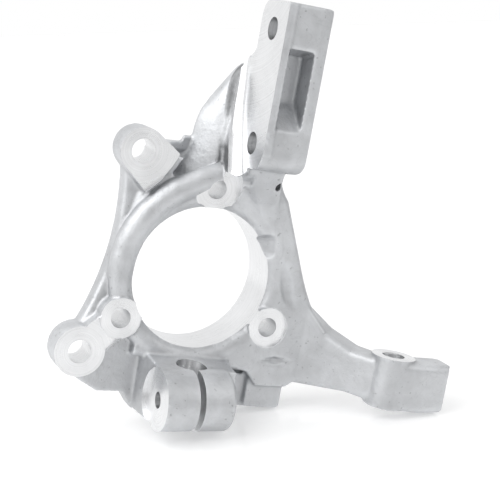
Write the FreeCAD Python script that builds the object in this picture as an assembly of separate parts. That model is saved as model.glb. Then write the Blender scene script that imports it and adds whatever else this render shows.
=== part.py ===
"""Front steering knuckle for a strut suspension, cast in aluminium and then machined.

Units are millimetres.  The casting is drawn upright: the strut tongue stands along Z, the hub
axis is Y with the wheel on the +Y side, and the origin is the hub centre on the flange face.
At the end the whole part is turned about the hub axis into the attitude in which it stands.
"""
import FreeCAD, Part
import math
import os

V = FreeCAD.Vector

STAND_LEAN = 11.2            # degrees that the tongue leans towards +X as the part stands
REACH = 400.0                # longer than the part, for cuts that go right through
CAST_EDGE_R = 3.0            # rounding on the edges of the cast plates
STOCK = 1.5                  # cast stock that the machined faces take off

# Hub bore, rolled rim and bolt circle
BORE_R = 46.0
RIM_Y = -31.0                # inboard edge of the bore
RIM_ROOT = (-0.4, -29.45)    # start of the rolled edge, just inside the bore
RIM_CREST = (6.5, -35.5)     # its highest line; the first figure is how far outside the bore
RIM_SHOULDER = (12.0, -24.0) # where it runs into the rim's outer wall
RIM_WAIST_Y = -14.0          # from here the wall tapers to the flange
RIM_FLANGE = 5.5             # width of the flange face round the bore
BOLT_CIRCLE_R = 58.0
BOLT_START = 91.2            # degrees from +X to the top hub bolt
BOLT_COUNT = 3
BOLT_HOLE_R = 6.4
BOLT_BOSS_R = 13.2
BOLT_FACE_Y = -35.0
TOP_POCKET_R = 15.0          # cutter radius of the pocket at the top bolt
TOP_CLEAR_R = 12.5           # cutter radius in front of the rolled ridge
TOP_CLEAR_Y = -41.5
TOP_POCKET_EDGE = (-3.0, 62.0, 37.0)   # x, z and angle of the line where the pocket stops

# Caliper ears, as x and z of their holes
UPPER_EAR = (-52.5, 75.3)
UPPER_EAR_R = 14.6
UPPER_EAR_TIPS = ((-28.5, 76.3), (-46.8, 49.8))
UPPER_EAR_BULGE = 1.8        # rise of the arc between the two tips
LOWER_EAR = (-71.7, -53.9)
LOWER_EAR_R = 16.3
EAR_NECK = 20.0              # width of the neck between the lower ear and its hub bolt
EAR_HOLE_R = 7.5
EAR_FACE_Y = -33.0
EAR_BACK_Y = -14.0

# Left arm between the ears, and the web under the tower
ARM_FRONT_Y = -25.0
ARM_BACK_Y = -12.0
ARM_OUTER = ((-60.9, 70.0), (-58.0, 18.2), (-73.9, -42.0))
RIDGE_R = 3.5
RIDGE_ENDS = ((-45.5, -25.0, 47.0), (-56.0, -23.0, 5.0))
ARM_INNER_X = -40.0          # inside the rim's wall
ROLL_R = 8.0                 # rolled ridge that leaves the rim and climbs to the tower
ROLL_LINE = ((-52.0, -27.0, -4.0), (-50.0, -29.5, 21.0), (-35.5, -32.5, 46.0),
             (-16.0, -33.0, 59.5), (3.0, -33.0, 67.5))

# Tower behind the strut tongue
GUSSET_FRONT_Y = -21.0
GUSSET_BACK_Y = -10.0
GUSSET_EDGE = ((10.5, 137.0), (5.0, 131.5), (-8.0, 112.0), (-13.5, 100.0), (-14.5, 91.5))
GUSSET_ROOT = ((-42.5, 32.0), (39.7, 46.0))   # hidden inside the rim and the leg
SADDLE = ((-22.0, 82.6), (-16.8, 85.1), (-40.0, 82.0))   # start, middle and end of the dip
SADDLE_FOOT_Z = 68.0
# Levels of the tower: z, left x, reach past the tongue's side, front y, back y, corner radius
COLUMN = (
    (54.0, -27.5, 5.0, -36.5, -8.0, 4.0),
    (75.0, -24.0, 4.0, -33.5, -8.0, 4.0),
    (90.0, -20.0, 2.0, -28.0, -9.0, 3.5),
    (105.0, -14.5, 0.0, -23.5, -10.0, 3.0),
    (120.0, -6.5, 0.0, -20.5, -11.0, 2.5),
)
SPINE = (
    (62.0, -0.5, -27.0, -52.0, -8.0, 2.5),
    (74.0, 0.0, -16.0, -45.0, -8.5, 2.5),
    (87.0, 0.5, 1.0, -38.0, -9.0, 2.5),
    (113.0, 2.5, 0.0, -29.5, -13.0, 2.5),
    (137.0, 5.5, -1.0, -37.5, -21.0, 2.5),
    (148.0, 7.0, -2.0, -42.0, -35.5, 2.5),
)

# Strut tongue
PAD_X = 7.7                  # machined face that the strut bracket clamps
TONGUE_WIDTH = 32.0          # pad face to the cast face on the other side
TONGUE_FRONT_Y = -73.0
TONGUE_BACK_Y = -36.0
TONGUE_TOP_Z = 179.0
TONGUE_FOOT_Z = 76.3
TONGUE_CORNER_R = 10.0
TONGUE_EDGE_R = 3.0
PARTING_SHARE = 0.7          # where the end face turns, as a share of the width
TURN = 2.5                   # how far the end face turns back by its outer edge
STRIP_WIDTH = 5.4            # raised cast strip along the pad's inboard edge
STRIP_RISE = 1.2
STRUT_HOLE_R = 7.0
STRUT_HOLE_Y = -55.0
STRUT_HOLE_Z = 91.5          # lower strut hole
STRUT_PITCH = 70.3
NUT_FACE_R = 12.5
COVE_R = 9.0                 # corner radius of the cutter that faces the pad
COVE_FOOT = (-54.0, 66.0)    # y and z where the cutter's path starts
COVE_SLOPE = 18.4            # degrees between the cutter's path and the tongue
COVE_RUN_OUT = 60.0          # how far the path runs on below its foot
LIGHT_LENGTH = 49.6          # lightening pocket between the two strut holes
LIGHT_MID_Z = 127.2
LIGHT_DEPTH = 17.0
LIGHT_WIDTH = 17.2
LIGHT_TOP_RAMP = 4.0         # how far the pocket's top wall leans
NUT_FACE_DEPTH = 0.6
# Levels of the fairing from the tongue's foot into the leg, as for the tower but with
# the left side measured from the pad
FAIRING = (
    (82.0, 1.0, -2.5, -58.5, -20.0, 8.0),
    (72.0, 1.5, -2.0, -52.0, -20.0, 8.0),
    (62.0, 7.0, 0.5, -45.5, -20.0, 8.0),
    (52.0, 14.0, 4.5, -40.0, -20.0, 8.0),
    (40.0, 22.0, 10.0, -35.5, -20.0, 7.0),
)

# Clamp for the ball joint stem
PINCH = (-2.0, -58.0, -73.0)
PINCH_TILT = 3.2             # degrees that the pinch axis climbs towards +X
CLAMP_R = 19.5
CLAMP_LENGTH = 46.0
CLAMP_END_R = 4.0
CLAMP_SINK_R = 21.0          # cutter radius of the pinch bolt's seat
PINCH_HOLE_R = 5.25
STEM_R = 10.0
STEM_Y = -47.0
SLIT_WIDTH = 3.8
NECK_LEFT_X = -30.0
NECK_RIGHT_X = 27.0
NECK_SLANT = 10.0            # degrees that the neck's left side leans in towards the barrel
# Side view of the neck as y and z, from the web round to the web again
NECK_SIDE = ((-12.0, -48.0), (-31.0, -50.5), (-46.0, -54.0), (-54.0, -54.5), (-52.0, -90.5),
             (-46.0, -91.5), (-25.0, -90.0), (-12.0, -80.5))

# Lower web and tab
WEB_FRONT_Y = -25.0
WEB_BACK_Y = -10.0
UNDER_RIDGE = ((-37.0, -28.5, -49.5), (50.0, -30.0, -55.0))
UNDER_RIDGE_R = 5.0
WEB_OUTER = ((-50.0, -30.0), (-71.7, -53.9), (-79.0, -67.0), (-67.0, -74.4), (-54.0, -81.0),
             (-37.5, -80.5), (-29.5, -91.0), (27.0, -86.0), (60.0, -70.0), (60.0, -30.0),
             (0.0, -40.0))
SHELF_Z = (-84.0, -61.5)     # step in the web between the clamp and the tab
SHELF_FRONT_Y = -29.0
TAB_X = (44.6, 70.8)
TAB_Z = (-82.8, -60.0)
TAB_FRONT_Y = -33.5
TAB_EDGE_R = 2.5

# Right leg
LEG_FRONT_Y = -37.0
LEG_BACK_Y = -9.0
LEG_EDGE_R = 5.0
LEG_OUTER = ((41.0, 78.0), (43.4, 66.0), (50.0, 56.0), (69.5, 10.0), (92.0, -27.0))
LEG_UNDERSIDE = ((92.0, -63.5), (76.5, -62.8), (71.0, -67.0), (49.3, -67.5), (41.5, -58.5),
                 (18.0, -54.0))
LEG_INNER = ((18.0, -30.0), (36.0, 0.0), (10.5, 36.0))   # hidden inside the rim
LEG_EASE = (42.0, -28.0, 9.0)  # x and z where the leg's face eases back to the rim, and angle
LEAD_IN = ((3.0, -33.9), (33.0, -48.2))  # slope down to the rim's crest, outside the bore
LEAD_IN_BACK_Y = -20.0       # hidden inside the rim
SHOULDER_X = (8.0, 34.0)     # thick shoulder between the top bolt and the tongue's foot
SHOULDER_FRONT_Y = -47.5
SHOULDER_ROOT_Z = 42.0       # hidden inside the rim
VALLEY_R = 6.0               # hollow between the rim and the leg
VALLEY_LINE = ((49.0, -44.0, 19.0), (54.5, -41.0, 9.0), (60.0, -41.0, -4.5),
               (66.5, -42.5, -13.5), (77.0, -47.0, -21.0))
LENS = (60.0, -49.5)         # x and z of the slim hollow under the third hub bolt
LENS_LENGTH = 28.0
LENS_R = 2.8
# Sensor notch: x across the leg, and z along it, in a frame turned about the hub axis
NOTCH_TURN = 16.5
NOTCH_PLACE = (-10.0, 9.2)
NOTCH_X = (30.0, 47.5, 60.3) # hidden start, end of the flat floor, end of the ramp
NOTCH_Z = (-9.0, -4.5, 5.0, 8.5)   # lower ramp's end and start, foot and head of the top wall
NOTCH_DEPTH = 12.0
DRILL = (35.6, 65.6)
DRILL_R = 2.6
DRILL_DEPTH = 14.0

# Steering arm: each station gives the front face's x and y, its turn towards the
# inboard side in degrees, the thickness, and the top and bottom heights
ARM_END_Z = -65.5            # underside of the arm from the boss on
STATIONS = (
    (74.0, -36.0, 12.0, 26.0, -7.0, -64.0),
    (89.0, -45.0, 36.0, 25.0, -26.0, -63.5),
    (102.0, -57.0, 43.0, 23.0, -33.0, -62.0),
    (114.0, -69.5, 40.0, 22.0, -34.0, -63.0),
    (128.5, -81.5, 22.0, 24.0, -33.5, ARM_END_Z),
    (146.0, -84.5, 3.0, 25.0, -32.8, ARM_END_Z),
    (164.0, -84.0, -2.0, 24.0, -32.4, -64.5),
)
STEER_EDGE_R = 4.0
LIP_SIZE = (2.2, 6.0)        # reach and height of the parting lip at the arm's end
TIE_ROD = (129.2, -67.4)     # x and y of the tie rod hole
TIE_BOSS_R = 14.4
TIE_FACE_Z = -31.6
TIE_HOLE_R = 7.4             # at the top face
TIE_TAPER = 4.8              # degrees of the hole's wall from its axis
TIE_FACE_MARGIN = 3.0        # how far the boss's facing cutter overlaps its edge


def polar(radius, degrees):
    """X and z of a point on a circle about the hub axis."""
    angle = math.radians(degrees)
    return radius * math.cos(angle), radius * math.sin(angle)


def bolt_places():
    """X and z of each hub bolt."""
    step = 360.0 / BOLT_COUNT
    return [polar(BOLT_CIRCLE_R, BOLT_START + i * step) for i in range(BOLT_COUNT)]


def rod_y(place, radius, y0, y1):
    """Cylinder along Y about a place given as x and z."""
    return Part.makeCylinder(radius, y1 - y0, V(place[0], y0, place[1]), V(0, 1, 0))


def outline(y, start, *steps):
    """Closed wire in the plane of that y.  A step is an end point, or a middle and an end."""
    def at(p):
        return V(p[0], y, p[1])
    edges = []
    here = at(start)
    for step in steps:
        if isinstance(step[0], tuple):
            end = at(step[1])
            edges.append(Part.Arc(here, at(step[0]), end).toShape())
        else:
            end = at(step)
            edges.append(Part.makeLine(here, end))
        here = end
    if here.distanceToPoint(at(start)) > 0.001:
        edges.append(Part.makeLine(here, at(start)))
    return Part.Wire(edges)


def plate(wire, depth):
    """Solid from a wire drawn in an XZ plane, thickened along +Y."""
    return Part.Face(wire).extrude(V(0, depth, 0))


def rounded(solid, radius, wanted):
    """Fillet the edges whose centre of mass passes the test."""
    edges = [e for e in solid.Edges if wanted(e)]
    return solid.makeFillet(radius, edges)


def on_front(y):
    """Test for edges that lie flat in the plane of that y."""
    def test(edge):
        box = edge.BoundBox
        return abs(box.YMin - y) < 0.01 and abs(box.YMax - y) < 0.01
    return test


def ring_section(centre, across, up, half_across, half_up, corner):
    """Rounded rectangle as a wire, in the plane of the two directions."""
    a, b = half_across - corner, half_up - corner
    bend = corner * (1.0 - math.sqrt(0.5))
    edges = []
    corners = ((1, 1), (-1, 1), (-1, -1), (1, -1))
    points = []
    for i, (s, t) in enumerate(corners):
        side = centre + across * (s * half_across) + up * (t * b)
        top = centre + across * (s * a) + up * (t * half_up)
        mid = centre + across * (s * (half_across - bend)) + up * (t * (half_up - bend))
        points.append((side, mid, top) if i % 2 == 0 else (top, mid, side))
    for i, (first, mid, last) in enumerate(points):
        edges.append(Part.Arc(first, mid, last).toShape())
        edges.append(Part.makeLine(last, points[(i + 1) % 4][0]))
    return Part.Wire(edges)


def level_loft(levels):
    """Loft of level rounded rectangles: each level is z, x0, x1, y0, y1 and the corner radius."""
    wires = []
    for z, x0, x1, y0, y1, corner in levels:
        centre = V((x0 + x1) / 2.0, (y0 + y1) / 2.0, z)
        wires.append(ring_section(centre, V(1, 0, 0), V(0, 1, 0),
                                  (x1 - x0) / 2.0, (y1 - y0) / 2.0, corner))
    return Part.makeLoft(wires, True, True)


def round_bore(places):
    """Points at a depth, each given by how far outside the bore it lies."""
    return [V(BORE_R + out, y, 0) for out, y in places]


def rim():
    """Ring round the bore with its front edge rolled over a crest."""
    inner = -STOCK
    front, root, crest, shoulder, waist, back_out, back_in = round_bore((
        (inner, RIM_ROOT[1]), RIM_ROOT, RIM_CREST, RIM_SHOULDER,
        (RIM_SHOULDER[0], RIM_WAIST_Y), (RIM_FLANGE, 0), (inner, 0)))
    straight = Part.makePolygon([shoulder, waist, back_out, back_in, front, root])
    edges = [Part.Arc(root, crest, shoulder).toShape()] + straight.Edges
    return Part.Face(Part.Wire(edges)).revolve(V(0, 0, 0), V(0, 1, 0), 360)


def lead_in():
    """Space in front of the rim, where the faces beside it slope down to its crest."""
    low, high = LEAD_IN
    below, start, end, clear = round_bore((
        (low[0], LEAD_IN_BACK_Y), low, high, (high[0], -REACH)))
    wire = Part.makePolygon([below, start, end, clear, V(0, -REACH, 0),
                             V(0, LEAD_IN_BACK_Y, 0), below])
    return Part.Face(Part.Wire(wire)).revolve(V(0, 0, 0), V(0, 1, 0), 360)


def hub_bosses():
    """Cast bosses under the hub bolts."""
    return [rod_y(place, BOLT_BOSS_R, BOLT_FACE_Y - STOCK, 0) for place in bolt_places()]


def touch_point(centre, radius, point, side):
    """Where the line from a point touches a circle; side picks one of the two."""
    dx, dz = point[0] - centre[0], point[1] - centre[1]
    swing = side * math.acos(radius / math.hypot(dx, dz))
    angle = math.atan2(dz, dx) + swing
    return centre[0] + radius * math.cos(angle), centre[1] + radius * math.sin(angle)


def upper_ear_wire(y):
    """Pear-shaped face of the upper ear."""
    high, low = UPPER_EAR_TIPS
    first = touch_point(UPPER_EAR, UPPER_EAR_R, high, 1)
    last = touch_point(UPPER_EAR, UPPER_EAR_R, low, -1)
    away = math.atan2(UPPER_EAR[1] - (high[1] + low[1]) / 2.0,
                      UPPER_EAR[0] - (high[0] + low[0]) / 2.0)
    far = (UPPER_EAR[0] + UPPER_EAR_R * math.cos(away),
           UPPER_EAR[1] + UPPER_EAR_R * math.sin(away))
    bulge = ((high[0] + low[0]) / 2.0 - UPPER_EAR_BULGE * math.cos(away),
             (high[1] + low[1]) / 2.0 - UPPER_EAR_BULGE * math.sin(away))
    return outline(y, high, first, (far, last), low, (bulge, high))


def lower_ear_body(y0, y1):
    """Round lower ear with its neck to the hub bolt beside it."""
    bolt = bolt_places()[1]
    dx, dz = bolt[0] - LOWER_EAR[0], bolt[1] - LOWER_EAR[1]
    length = math.hypot(dx, dz)
    neck = Part.makeBox(length, y1 - y0, EAR_NECK, V(0, y0, -EAR_NECK / 2.0))
    neck.rotate(V(0, 0, 0), V(0, 1, 0), -math.degrees(math.atan2(dz, dx)))
    neck.translate(V(LOWER_EAR[0], 0, LOWER_EAR[1]))
    return rod_y(LOWER_EAR, LOWER_EAR_R, y0, y1).fuse(neck)


def ears():
    """Both caliper ears as cast, with stock on the inboard faces."""
    front = EAR_FACE_Y - STOCK
    upper = plate(upper_ear_wire(front), EAR_BACK_Y - front)
    return [upper, lower_ear_body(front, EAR_BACK_Y)]


def left_arm():
    """Curved plate that joins the ears along the rim, with a ridge on its face."""
    top, mid, foot = ARM_OUTER
    wire = outline(ARM_FRONT_Y, top, (mid, foot), (ARM_INNER_X, foot[1]),
                   (ARM_INNER_X, top[1]), UPPER_EAR)
    arm = plate(wire, ARM_BACK_Y - ARM_FRONT_Y)
    arc_length = math.hypot(top[0] - foot[0], top[1] - foot[1])
    arm = rounded(arm, CAST_EDGE_R, lambda e: on_front(ARM_FRONT_Y)(e)
                  and e.Length > arc_length)
    high, low = (V(*p) for p in RIDGE_ENDS)
    ridge = Part.makeCylinder(RIDGE_R, (low - high).Length, high, low - high)
    return [arm, ridge, Part.makeSphere(RIDGE_R, low), Part.makeSphere(RIDGE_R, high)]


def swept_rod(places, radius):
    """Round rod along a gentle curve through the places, with a ball at each end."""
    points = [V(*p) for p in places]
    first = Part.Arc(points[0], points[1], points[2]).toShape()
    edges = [first]
    along = first.tangentAt(first.LastParameter)
    for start, end in zip(points[2:], points[3:]):
        chord = end - start
        reach = V(chord).normalize()
        swing = along.getAngle(reach) / 2.0
        side = (along - reach * along.dot(reach)).normalize()
        middle = start + chord / 2.0 + side * (chord.Length / 2.0 * math.tan(swing))
        edges.append(Part.Arc(start, middle, end).toShape())
        along = reach * (2.0 * along.dot(reach)) - along
    spine = Part.makePolygon(Part.Wire(edges).discretize(2 * len(points)))
    profile = Part.makeCircle(radius, points[0], spine.Edges[0].tangentAt(0))
    rod = spine.makePipeShell([Part.Wire([profile])], True, False, 1)
    return [rod] + [Part.makeSphere(radius, p) for p in (points[0], points[-1])]


def roll():
    """Rolled ridge that leaves the rim and climbs to the foot of the tower."""
    return swept_rod(ROLL_LINE, ROLL_R)


def gusset():
    """Thin web between the upper ear, the rim and the back of the tongue."""
    tip, shoulder, waist, hip, heel = GUSSET_EDGE
    start, sag, end = SADDLE
    left_root, right_root = GUSSET_ROOT
    wire = outline(GUSSET_FRONT_Y, tip, shoulder, waist, hip, heel, (sag, start), end,
                   (UPPER_EAR[0], SADDLE_FOOT_Z), left_root, right_root,
                   (right_root[0], tip[1]))
    return [plate(wire, GUSSET_BACK_Y - GUSSET_FRONT_Y)]


def tower():
    """Tapered column between the rim and the tongue, with the stock for the pad's cove."""
    right = PAD_X + TONGUE_WIDTH
    return [level_loft([(z, x0, right + past, y0, y1, corner)
                        for z, x0, past, y0, y1, corner in levels])
            for levels in (COLUMN, SPINE)]


def tongue():
    """Upright block that the strut bracket clamps, with rounded corners."""
    right = PAD_X + TONGUE_WIDTH
    height = TONGUE_TOP_Z - TONGUE_FOOT_Z
    parting = PAD_X + TONGUE_WIDTH * PARTING_SHARE
    plan = Part.makePolygon([
        V(PAD_X, TONGUE_BACK_Y, TONGUE_FOOT_Z), V(PAD_X, TONGUE_FRONT_Y, TONGUE_FOOT_Z),
        V(parting, TONGUE_FRONT_Y, TONGUE_FOOT_Z), V(right, TONGUE_FRONT_Y + TURN, TONGUE_FOOT_Z),
        V(right, TONGUE_BACK_Y, TONGUE_FOOT_Z), V(PAD_X, TONGUE_BACK_Y, TONGUE_FOOT_Z)])
    block = Part.Face(Part.Wire(plan)).extrude(V(0, 0, height))
    middle = (TONGUE_FRONT_Y + TONGUE_BACK_Y) / 2.0

    def corner(edge):
        """Edges across the tongue at the top back corner or the bottom front corner."""
        mid = edge.CenterOfMass
        across = edge.BoundBox.XLength > 1.0
        top_back = abs(mid.z - TONGUE_TOP_Z) < 0.01 and mid.y > middle
        foot_front = abs(mid.z - TONGUE_FOOT_Z) < 0.01 and mid.y < middle
        return across and (top_back or foot_front)

    block = rounded(block, TONGUE_CORNER_R, corner)
    block = rounded(block, TONGUE_EDGE_R, lambda e: abs(e.BoundBox.XMin - right) < 0.01
                    and abs(e.BoundBox.XMax - right) < 0.01)
    strip_height = height - TONGUE_CORNER_R
    strip = Part.makeBox(STRIP_WIDTH, STRIP_RISE + STOCK, strip_height,
                         V(PAD_X, TONGUE_FRONT_Y - STRIP_RISE, TONGUE_FOOT_Z + TONGUE_CORNER_R))
    return [block, strip]


def foot_fairing():
    """Fairing from the underside of the tongue into the right leg."""
    right = PAD_X + TONGUE_WIDTH
    return level_loft([(z, PAD_X + inset, right + past, y0, y1, corner)
                       for z, inset, past, y0, y1, corner in FAIRING])


def bend(before, start, end):
    """Middle of the arc that leaves the start in line with the point before it."""
    run = math.atan2(start[1] - before[1], start[0] - before[0])
    chord = math.hypot(end[0] - start[0], end[1] - start[1])
    aim = math.atan2(end[1] - start[1], end[0] - start[0])
    swing = (run - aim) / 2.0
    half = chord / 2.0 / math.cos(swing)
    return start[0] + half * math.cos(aim + swing), start[1] + half * math.sin(aim + swing)


def right_leg():
    """Broad leg from the tongue's foot past the third hub bolt to the steering arm."""
    head, dip, shoulder, knee, root = LEG_OUTER
    start = (LEG_INNER[-1][0], head[1])
    wire = outline(LEG_FRONT_Y, start, head, (dip, shoulder), knee,
                   (bend(shoulder, knee, root), root), *LEG_UNDERSIDE, *LEG_INNER)
    leg = plate(wire, LEG_BACK_Y - LEG_FRONT_Y)

    def outer(edge):
        mid = edge.CenterOfMass
        return on_front(LEG_FRONT_Y)(edge) and mid.x > head[0] and root[1] < mid.z < head[1]

    x, z, angle = LEG_EASE
    ease = Part.makeBox(REACH, REACH, REACH, V(-REACH, -REACH, z - REACH))
    ease.rotate(V(0, 0, 0), V(0, 0, 1), -angle)
    ease.translate(V(x, LEG_FRONT_Y, 0))
    return [rounded(leg, LEG_EDGE_R, outer).cut(lead_in()).cut(ease)]


def shoulder():
    """Thick shoulder that slopes from the tongue's foot down to the rim."""
    left, right = SHOULDER_X
    block = Part.makeBox(right - left, LEAD_IN_BACK_Y - SHOULDER_FRONT_Y,
                         TONGUE_FOOT_Z + STOCK - SHOULDER_ROOT_Z,
                         V(left, SHOULDER_FRONT_Y, SHOULDER_ROOT_Z))
    return block.cut(lead_in())


def steering_arm():
    """Bar that sweeps inboard from the leg and ends in the tie rod boss."""
    wires = []
    for x, y, turn, thick, top, bottom in STATIONS:
        angle = math.radians(turn)
        inward = V(math.sin(angle), math.cos(angle), 0)
        centre = V(x, y, (top + bottom) / 2.0) + inward * (thick / 2.0)
        wires.append(ring_section(centre, inward, V(0, 0, 1), thick / 2.0,
                                  (top - bottom) / 2.0, STEER_EDGE_R))
    bar = Part.makeLoft(wires, True, True)
    end_x, end_y, _, thick, top, _ = STATIONS[-1]
    lip = Part.makeBox(LIP_SIZE[0] + STEER_EDGE_R, thick - 2.0 * STEER_EDGE_R, LIP_SIZE[1],
                       V(end_x - STEER_EDGE_R, end_y + STEER_EDGE_R, top - LIP_SIZE[1]))
    boss = Part.makeCylinder(TIE_BOSS_R, TIE_FACE_Z + STOCK - ARM_END_Z,
                             V(TIE_ROD[0], TIE_ROD[1], ARM_END_Z))
    return [bar, lip, boss]


def pinch_frame(solid):
    """Place a solid drawn about the X axis on the pinch bolt's axis."""
    solid.rotate(V(0, 0, 0), V(0, 1, 0), -PINCH_TILT)
    solid.translate(V(*PINCH))
    return solid


def clamp():
    """Cast barrel round the pinch bolt, and the neck that carries it."""
    half = CLAMP_LENGTH / 2.0
    barrel = Part.makeCylinder(CLAMP_R, CLAMP_LENGTH + STOCK, V(-half - STOCK, 0, 0), V(1, 0, 0))
    end = [e for e in barrel.Edges if e.BoundBox.XMin > half - 0.01]
    barrel = barrel.makeChamfer(CLAMP_END_R / 2.0, end)
    corners = [V(NECK_LEFT_X, y, z) for y, z in NECK_SIDE]
    side = Part.Face(Part.makePolygon(corners + corners[:1]))
    neck = side.extrude(V(NECK_RIGHT_X - NECK_LEFT_X, 0, 0))
    slant = Part.makeBox(REACH, 2.0 * REACH, 2.0 * REACH, V(-REACH, -REACH, -REACH))
    slant.rotate(V(0, 0, 0), V(0, 0, 1), NECK_SLANT)
    slant.translate(V(NECK_LEFT_X, WEB_FRONT_Y, 0))
    return [pinch_frame(barrel), neck.cut(slant)]


def lower_web():
    """Web under the rim from the lower ear to the tab, with its step and the tab itself."""
    web = plate(outline(WEB_FRONT_Y, *WEB_OUTER), WEB_BACK_Y - WEB_FRONT_Y)
    ridge_left, ridge_right = (V(*p) for p in UNDER_RIDGE)
    ridge = Part.makeCylinder(UNDER_RIDGE_R, (ridge_right - ridge_left).Length, ridge_left,
                              ridge_right - ridge_left)
    shelf = Part.makeBox(TAB_X[1] - NECK_RIGHT_X, WEB_BACK_Y - SHELF_FRONT_Y,
                         SHELF_Z[1] - SHELF_Z[0], V(NECK_RIGHT_X, SHELF_FRONT_Y, SHELF_Z[0]))
    tab = Part.makeBox(TAB_X[1] - TAB_X[0], WEB_BACK_Y - TAB_FRONT_Y, TAB_Z[1] - TAB_Z[0],
                       V(TAB_X[0], TAB_FRONT_Y, TAB_Z[0]))
    tab = rounded(tab, TAB_EDGE_R, lambda e: e.CenterOfMass.z < TAB_Z[0] + 0.01
                  and e.BoundBox.YLength > TAB_EDGE_R)
    return [web, ridge, shelf, tab]


def casting():
    """The whole casting before machining."""
    pieces = [rim()]
    for group in (hub_bosses(), ears(), left_arm(), roll(), gusset(), tower(), tongue(),
                  [foot_fairing(), shoulder()], right_leg(), steering_arm(), clamp(), lower_web()):
        pieces.extend(group)
    body = pieces[0].multiFuse(pieces[1:])
    return body.removeSplitter()


def pad_cutter():
    """Cutter that faces the pad and leaves a cove along its outboard edge."""
    block = Part.makeBox(REACH, REACH, 2.0 * REACH, V(-REACH, -REACH, 0))
    block = rounded(block, COVE_R, lambda e: abs(e.CenterOfMass.x) < 0.01
                    and abs(e.CenterOfMass.y) < 0.01)
    block.translate(V(0, 0, -COVE_RUN_OUT))
    block.rotate(V(0, 0, 0), V(1, 0, 0), -COVE_SLOPE)
    block.translate(V(PAD_X, COVE_FOOT[0], COVE_FOOT[1]))
    return block


def strut_cuts():
    """Pad, strut holes with their nut faces, and the lightening pocket."""
    far = PAD_X + TONGUE_WIDTH
    cuts = [pad_cutter()]
    for z in (STRUT_HOLE_Z, STRUT_HOLE_Z + STRUT_PITCH):
        start = V(PAD_X - STOCK, STRUT_HOLE_Y, z)
        face = V(far - NUT_FACE_DEPTH, STRUT_HOLE_Y, z)
        cuts.append(Part.makeCylinder(STRUT_HOLE_R, 2.0 * TONGUE_WIDTH, start, V(1, 0, 0)))
        cuts.append(Part.makeCylinder(NUT_FACE_R, NUT_FACE_R, face, V(1, 0, 0)))
    low, high = LIGHT_MID_Z - LIGHT_LENGTH / 2.0, LIGHT_MID_Z + LIGHT_LENGTH / 2.0
    x0 = PAD_X + STRIP_WIDTH
    floor_y = TONGUE_FRONT_Y + LIGHT_DEPTH
    open_y = TONGUE_FRONT_Y - LIGHT_DEPTH
    corners = [V(x0, y, z) for y, z in ((TONGUE_FRONT_Y, low), (floor_y, low + LIGHT_DEPTH),
                                        (floor_y, high - LIGHT_TOP_RAMP),
                                        (TONGUE_FRONT_Y, high), (open_y, high), (open_y, low))]
    side = Part.Face(Part.makePolygon(corners + corners[:1]))
    cuts.append(side.extrude(V(LIGHT_WIDTH, 0, 0)))
    return cuts


def notch():
    """Sensor notch: steep at its top, and ramped out to the right and at its lower end."""
    start, flat, end = NOTCH_X
    low, turn_z, foot, high = NOTCH_Z
    floor_y = RIM_Y + NOTCH_DEPTH
    face_y = LEG_FRONT_Y - STOCK
    wires = []
    for z, y in ((low, RIM_Y), (turn_z, floor_y), (foot, floor_y), (high, RIM_Y)):
        corners = [V(start, -REACH, z), V(start, y, z), V(flat, y, z), V(end, face_y, z),
                   V(end, -REACH, z)]
        wires.append(Part.makePolygon(corners + corners[:1]))
    cutter = Part.makeLoft(wires, True, True)
    cutter.rotate(V(0, 0, 0), V(0, 1, 0), -NOTCH_TURN)
    cutter.translate(V(NOTCH_PLACE[0], 0, NOTCH_PLACE[1]))
    return cutter


def lens():
    """Slim spindle of two cones that leaves a lens-shaped hollow in the leg's face."""
    half = LENS_LENGTH / 2.0
    middle = V(LENS[0], LEG_FRONT_Y, LENS[1])
    right = Part.makeCone(LENS_R, 0, half, middle, V(1, 0, 0))
    left = Part.makeCone(LENS_R, 0, half, middle, V(-1, 0, 0))
    return left.fuse(right)


def hub_cuts():
    """Bore, hub bolt holes and their spot faces, the notch and the hollows in the leg."""
    cuts = [rod_y((0, 0), BORE_R, -REACH, REACH)]
    places = bolt_places()
    for place in places:
        cuts.append(rod_y(place, BOLT_HOLE_R, -REACH, REACH))
    for place in places[1:]:
        cuts.append(rod_y(place, BOLT_BOSS_R, -REACH, BOLT_FACE_Y))
    x, z, angle = TOP_POCKET_EDGE
    pocket = rod_y(places[0], TOP_POCKET_R, -REACH, BOLT_FACE_Y)
    keep = Part.makeBox(REACH, REACH, REACH, V(-REACH / 2.0, -REACH / 2.0, -REACH))
    keep.rotate(V(0, 0, 0), V(0, 1, 0), -angle)
    keep.translate(V(x, 0, z))
    cuts.append(pocket.common(keep))
    cuts.append(rod_y(places[0], TOP_CLEAR_R, -REACH, TOP_CLEAR_Y))
    cuts.append(rod_y(DRILL, DRILL_R, LEG_FRONT_Y - DRILL_DEPTH, LEG_FRONT_Y + DRILL_DEPTH))
    return cuts + [notch(), lens()] + swept_rod(VALLEY_LINE, VALLEY_R)


def ear_cuts():
    """Faced ears and the caliper bolt holes."""
    reach = EAR_FACE_Y - REACH
    bolt = rod_y(bolt_places()[1], BOLT_BOSS_R, reach, EAR_FACE_Y)
    cuts = [plate(upper_ear_wire(reach), REACH),
            lower_ear_body(reach, EAR_FACE_Y).cut(bolt)]
    for place in (UPPER_EAR, LOWER_EAR):
        cuts.append(rod_y(place, EAR_HOLE_R, -REACH, REACH))
    return cuts


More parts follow.
